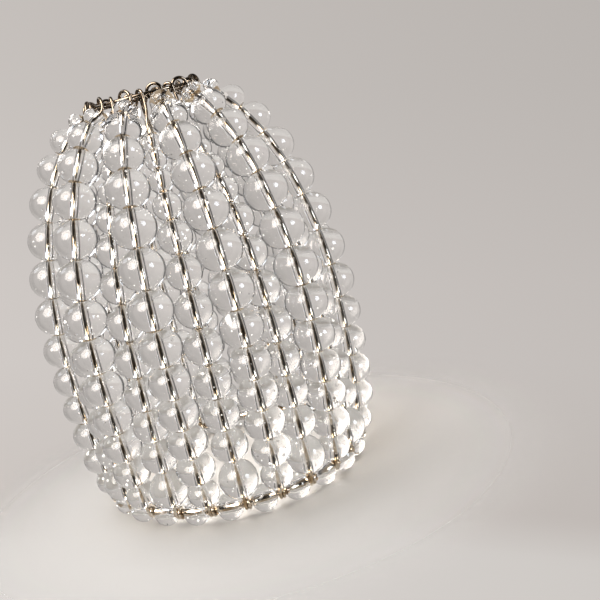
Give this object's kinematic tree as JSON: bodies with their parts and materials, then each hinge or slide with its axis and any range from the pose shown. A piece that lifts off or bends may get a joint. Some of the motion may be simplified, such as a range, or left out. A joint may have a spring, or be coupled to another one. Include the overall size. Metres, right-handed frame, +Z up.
{
  "type": "glass bulb cover",
  "caption": "Open barrel-shaped cage of bent wire ribs threaded with graded clear glass beads, which drops over a bare bulb and hangs from its lampholder's neck.",
  "frame": {"origin": "on the table, on the cage's axis, where the base ring's beads rest", "axes": "+Z up the cage's axis from the base ring to the crown ring, +Y away from the viewer of the picture"},
  "size_m": [0.0836, 0.0836, 0.1072],
  "materials": {
    "wire": "polished pale gold-silver wire",
    "glass": "clear pressed glass with a few fine bubbles"
  },
  "bodies": {
    "root": {"base_ring": "wire", "crown_ring": "wire", "base_ring_beads": "glass", "outer_rib_01": "wire", "inner_rib_01": "wire", "outer_rib_02": "wire", "inner_rib_02": "wire", "outer_rib_03": "wire", "inner_rib_03": "wire", "outer_rib_04": "wire", "inner_rib_04": "wire", "outer_rib_05": "wire", "inner_rib_05": "wire", "outer_rib_06": "wire", "inner_rib_06": "wire", "outer_rib_07": "wire", "inner_rib_07": "wire", "outer_rib_08": "wire", "inner_rib_08": "wire", "outer_rib_09": "wire", "inner_rib_09": "wire", "outer_rib_10": "wire", "inner_rib_10": "wire", "outer_rib_11": "wire", "inner_rib_11": "wire", "outer_rib_12": "wire", "inner_rib_12": "wire", "outer_beads_01": "glass", "inner_beads_01": "glass", "outer_beads_02": "glass", "inner_beads_02": "glass", "outer_beads_03": "glass", "inner_beads_03": "glass", "outer_beads_04": "glass", "inner_beads_04": "glass", "outer_beads_05": "glass", "inner_beads_05": "glass", "outer_beads_06": "glass", "inner_beads_06": "glass", "outer_beads_07": "glass", "inner_beads_07": "glass", "outer_beads_08": "glass", "inner_beads_08": "glass", "outer_beads_09": "glass", "inner_beads_09": "glass", "outer_beads_10": "glass", "inner_beads_10": "glass", "outer_beads_11": "glass", "inner_beads_11": "glass", "outer_beads_12": "glass", "inner_beads_12": "glass"}
  },
  "joints": []
}
